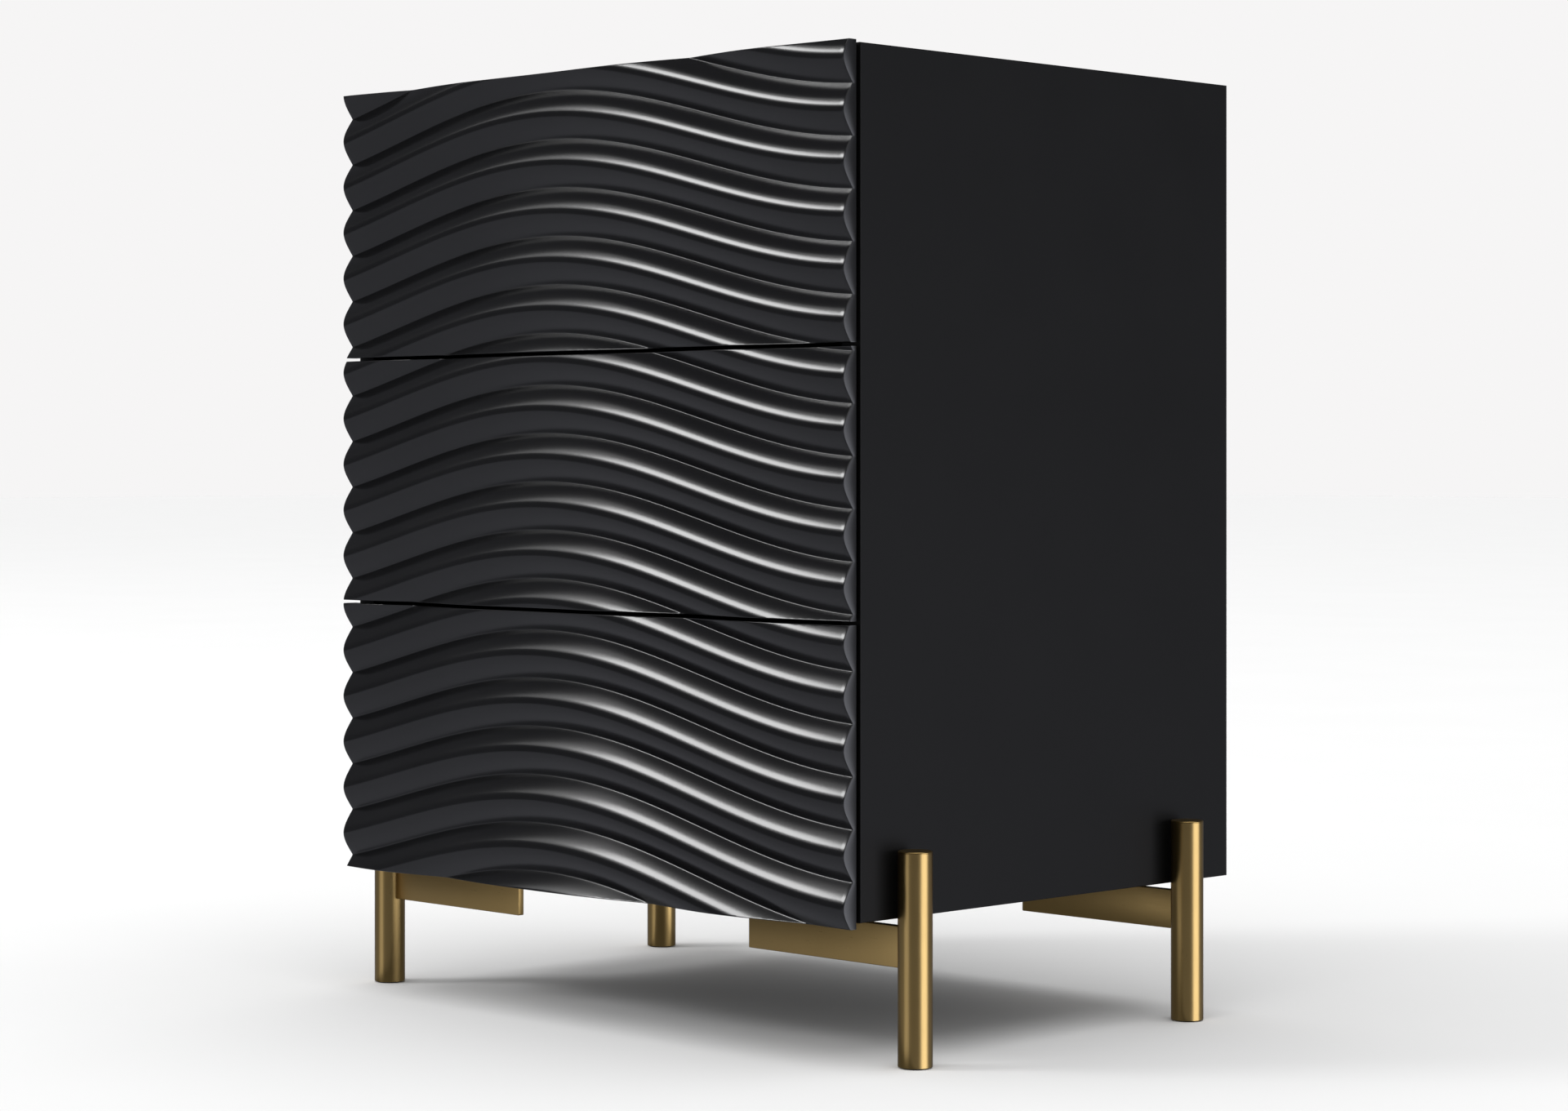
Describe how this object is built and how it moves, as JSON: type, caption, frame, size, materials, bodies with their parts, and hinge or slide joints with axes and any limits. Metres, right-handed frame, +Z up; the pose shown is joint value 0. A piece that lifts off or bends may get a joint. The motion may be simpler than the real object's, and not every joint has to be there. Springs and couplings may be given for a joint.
{
  "type": "nightstand",
  "caption": "Bedside cabinet with three handleless wave-fluted drawer fronts on short brass tube legs set outside the side panels.",
  "frame": {"origin": "on the floor, under the middle of the overall box", "axes": "+Z up, the drawer fronts face -Y, +X is the right-hand side when the fronts are seen from in front"},
  "size_m": [0.5458, 0.381, 0.6412],
  "materials": {
    "black_lacquer_front": "semi-gloss black lacquer",
    "black_lacquer_carcass": "matte black lacquer",
    "back_board": "matte",
    "drawer_board": "matte melamine",
    "beech_dowel": "raw",
    "brass_satin": "satin",
    "slide_steel": "zinc plated",
    "zinc_hardware": "zinc plated",
    "glide_plastic": "matte"
  },
  "bodies": {
    "cabinet": {"top_panel": "black_lacquer_carcass", "bottom_panel": "black_lacquer_carcass", "left_side_panel": "black_lacquer_carcass", "right_side_panel": "black_lacquer_carcass", "back_panel": "back_board", "carcass_dowels": "beech_dowel", "carcass_cam_discs": "zinc_hardware", "carcass_cam_bolts": "zinc_hardware", "leg_caps": "brass_satin", "leg_foot_glides": "glide_plastic", "leg_screws": "zinc_hardware", "slide_screws_cabinet": "zinc_hardware", "leg_tube_front_left": "brass_satin", "leg_bar_front_left": "brass_satin", "leg_plate_front_left": "brass_satin", "leg_tube_rear_left": "brass_satin", "leg_bar_rear_left": "brass_satin", "leg_plate_rear_left": "brass_satin", "leg_tube_front_right": "brass_satin", "leg_bar_front_right": "brass_satin", "leg_plate_front_right": "brass_satin", "leg_tube_rear_right": "brass_satin", "leg_bar_rear_right": "brass_satin", "leg_plate_rear_right": "brass_satin", "top_slide_outer": "slide_steel", "middle_slide_outer": "slide_steel", "bottom_slide_outer": "slide_steel"},
    "top_drawer": {"top_slide_inner": "slide_steel", "top_slide_screws": "zinc_hardware", "top_drawer_front": "black_lacquer_front", "top_front_screws": "zinc_hardware", "top_drawer_inner_front": "drawer_board", "top_drawer_left_side": "drawer_board", "top_drawer_right_side": "drawer_board", "top_drawer_back": "drawer_board", "top_drawer_floor": "drawer_board"},
    "top_slide_runners": {"top_slide_middle": "slide_steel"},
    "middle_drawer": {"middle_slide_inner": "slide_steel", "middle_slide_screws": "zinc_hardware", "middle_drawer_front": "black_lacquer_front", "middle_front_screws": "zinc_hardware", "middle_drawer_inner_front": "drawer_board", "middle_drawer_left_side": "drawer_board", "middle_drawer_right_side": "drawer_board", "middle_drawer_back": "drawer_board", "middle_drawer_floor": "drawer_board"},
    "middle_slide_runners": {"middle_slide_middle": "slide_steel"},
    "bottom_drawer": {"bottom_slide_inner": "slide_steel", "bottom_slide_screws": "zinc_hardware", "bottom_drawer_front": "black_lacquer_front", "bottom_front_screws": "zinc_hardware", "bottom_drawer_inner_front": "drawer_board", "bottom_drawer_left_side": "drawer_board", "bottom_drawer_right_side": "drawer_board", "bottom_drawer_back": "drawer_board", "bottom_drawer_floor": "drawer_board"},
    "bottom_slide_runners": {"bottom_slide_middle": "slide_steel"}
  },
  "joints": [
    {"name": "top_drawer_slide", "type": "slide", "parent": "cabinet", "child": "top_drawer", "axis": [0, -1, 0], "range_m": [-0.003, 0.3]},
    {"name": "top_runner_slide", "type": "slide", "parent": "cabinet", "child": "top_slide_runners", "axis": [0, -1, 0], "range_m": [-0.0015, 0.15]},
    {"name": "middle_drawer_slide", "type": "slide", "parent": "cabinet", "child": "middle_drawer", "axis": [0, -1, 0], "range_m": [-0.003, 0.3]},
    {"name": "middle_runner_slide", "type": "slide", "parent": "cabinet", "child": "middle_slide_runners", "axis": [0, -1, 0], "range_m": [-0.0015, 0.15]},
    {"name": "bottom_drawer_slide", "type": "slide", "parent": "cabinet", "child": "bottom_drawer", "axis": [0, -1, 0], "range_m": [-0.003, 0.3]},
    {"name": "bottom_runner_slide", "type": "slide", "parent": "cabinet", "child": "bottom_slide_runners", "axis": [0, -1, 0], "range_m": [-0.0015, 0.15]}
  ],
  "couplings": [
    {"joint": "top_runner_slide", "follows": "top_drawer_slide", "ratio": 0.5},
    {"joint": "middle_runner_slide", "follows": "middle_drawer_slide", "ratio": 0.5},
    {"joint": "bottom_runner_slide", "follows": "bottom_drawer_slide", "ratio": 0.5}
  ]
}
